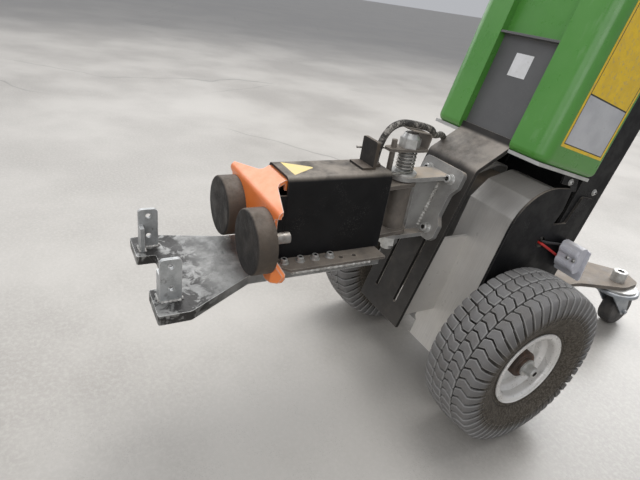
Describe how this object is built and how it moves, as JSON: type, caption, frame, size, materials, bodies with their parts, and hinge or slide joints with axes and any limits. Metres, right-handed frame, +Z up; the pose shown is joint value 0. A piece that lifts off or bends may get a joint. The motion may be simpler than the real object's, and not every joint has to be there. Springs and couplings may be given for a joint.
{
  "type": "electric tow tractor",
  "caption": "Pedestrian electric tug with a leaning mast, pneumatic drive wheels, a rear castor and a swivelling front coupling arm with a rubber-faced clamp",
  "frame": {"origin": "middle of the footprint, on the floor", "axes": "X across the tug, minus Y towards the coupling fork, Z up"},
  "size_m": [0.4262, 1.0754, 1.0339],
  "materials": {
    "black_paint": "matt black powder coat, dusty on top faces",
    "dark_grey_paint": "satin dark grey paint, dusty and scuffed",
    "green_plastic": "glossy green moulding",
    "orange_paint": "satin orange paint with chipped pale edges",
    "brushed_case": "brushed stainless sheet with bright folds",
    "bare_steel": "plain steel, dusty grey-brown",
    "galvanised": "galvanised steel, mottled, with dark smears",
    "zinc": "bright zinc screws, bolts and rings",
    "rubber": "hard rubber, brown-grey at the rim",
    "braid": "mottled grey-brown braided sleeve",
    "wire_skin": "plain red and black wire",
    "tyre": "grey rubber tyre with block tread, brownish side wall",
    "rim_paint": "silver painted pressed steel",
    "hub_steel": "dark brown steel with rust",
    "castor_steel": "blue-grey pressed steel",
    "castor_tread": "dark hard rubber wheel",
    "block_grey": "plain dark block",
    "head_plastic": "black moulded plastic",
    "connector_plastic": "pale lilac-grey moulded plastic"
  },
  "bodies": {
    "chassis": {"axle_stubs": "bare_steel", "front_plate": "dark_grey_paint", "plate_webs": "dark_grey_paint", "casing_wraps": "brushed_case", "side_cheeks": "black_paint", "drive_unit": "block_grey", "rear_beam": "dark_grey_paint", "castor_arm": "bare_steel", "castor_bolt": "zinc", "battery_hood": "green_plastic", "centre_cover": "dark_grey_paint", "battery_block": "block_grey", "hood_shelf": "bare_steel", "mast_channel": "black_paint", "mast_top": "black_paint", "handle_bar": "black_paint", "grips": "rubber", "control_head": "head_plastic", "hinge_bracket": "bare_steel", "pivot_bolt": "zinc", "centring_spring": "bare_steel", "keeper": "bare_steel", "arm_cable": "braid", "connector": "connector_plastic", "connector_bracket": "black_paint", "wires": "wire_skin"},
    "coupling_arm": {"arm_knuckles": "bare_steel", "arm_cover": "black_paint", "side_strips": "bare_steel", "fork_deck": "galvanised", "lugs": "galvanised", "limit_block": "rubber", "actuator": "bare_steel"},
    "clamp": {"clamp_plate": "orange_paint", "buffers": "rubber", "buffer_studs": "zinc", "actuator_rod": "zinc"},
    "wheel_left": {"tyre_left": "tyre", "rim_left": "rim_paint", "hub_left": "hub_steel"},
    "wheel_right": {"tyre_right": "tyre", "rim_right": "rim_paint", "hub_right": "hub_steel"},
    "castor": {"castor_fork": "castor_steel"},
    "castor_roller": {"castor_wheel": "castor_tread"}
  },
  "joints": [
    {"name": "wheel_left_spin", "type": "hinge", "parent": "chassis", "child": "wheel_left", "pos_m": [-0.165, -0.0243, 0.138], "axis": [1, 0, 0], "continuous": true},
    {"name": "wheel_right_spin", "type": "hinge", "parent": "chassis", "child": "wheel_right", "pos_m": [0.165, -0.0243, 0.138], "axis": [1, 0, 0], "continuous": true},
    {"name": "castor_swivel", "type": "hinge", "parent": "chassis", "child": "castor", "pos_m": [0.049, 0.4487, 0.104], "axis": [0, 0, 1], "continuous": true},
    {"name": "castor_spin", "type": "hinge", "parent": "castor", "child": "castor_roller", "pos_m": [0.049, 0.4977, 0.04], "axis": [1, 0, 0], "continuous": true},
    {"name": "arm_swivel", "type": "hinge", "parent": "chassis", "child": "coupling_arm", "pos_m": [0, -0.1793, 0.33], "axis": [0, 0, 1], "range_deg": [-30, 30], "stiffness_Nm_per_rad": 4, "deforming": ["centring_spring"]},
    {"name": "clamp_slide", "type": "slide", "parent": "coupling_arm", "child": "clamp", "axis": [0, -1, 0], "range_m": [0, 0.06]}
  ]
}
